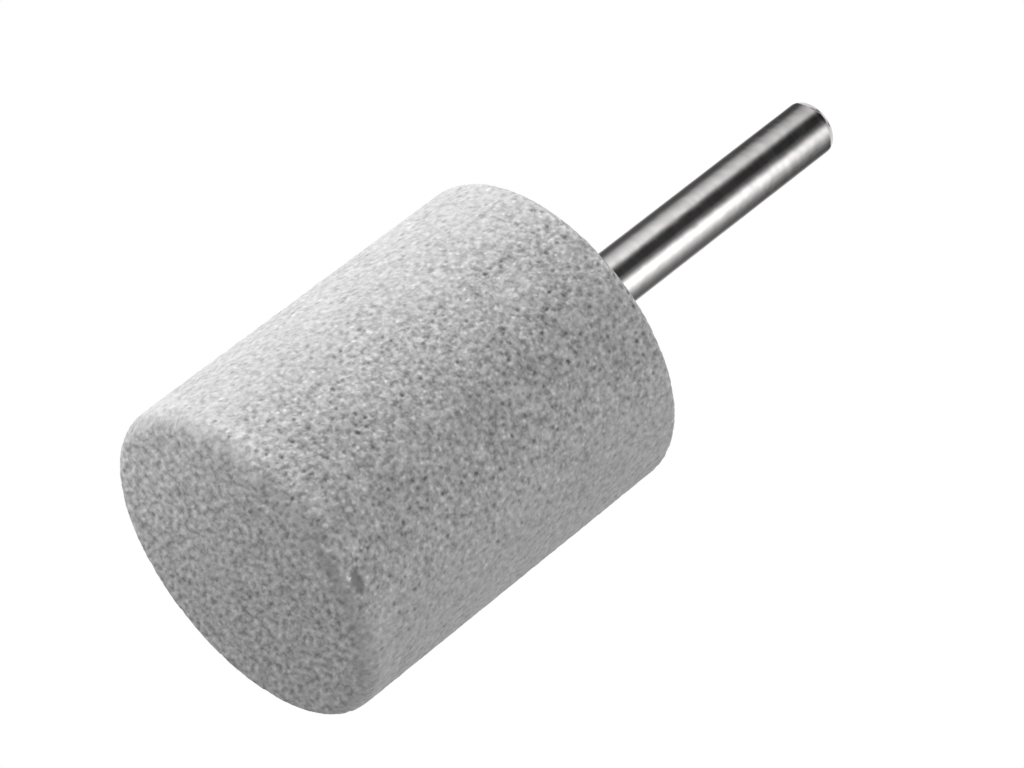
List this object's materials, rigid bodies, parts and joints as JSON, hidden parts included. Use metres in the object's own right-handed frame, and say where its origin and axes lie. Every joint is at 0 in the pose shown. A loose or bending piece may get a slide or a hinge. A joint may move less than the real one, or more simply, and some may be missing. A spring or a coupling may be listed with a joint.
{
  "type": "mounted point",
  "caption": "Grey cylindrical mounted point: a bonded abrasive head with softly rounded edges, cemented on a polished straight steel shank that a grinder's collet grips.",
  "frame": {"origin": "centre of the head's working face, on which the part stands", "axes": "+Z along the axis, from the working face to the shank's free end; the part is round, so X and Y are free"},
  "size_m": [0.034, 0.034, 0.0815],
  "materials": {
    "vitrified_abrasive": "matte",
    "polished_steel": "polished"
  },
  "bodies": {
    "root": {"abrasive_head": "vitrified_abrasive", "shank": "polished_steel"}
  },
  "joints": []
}
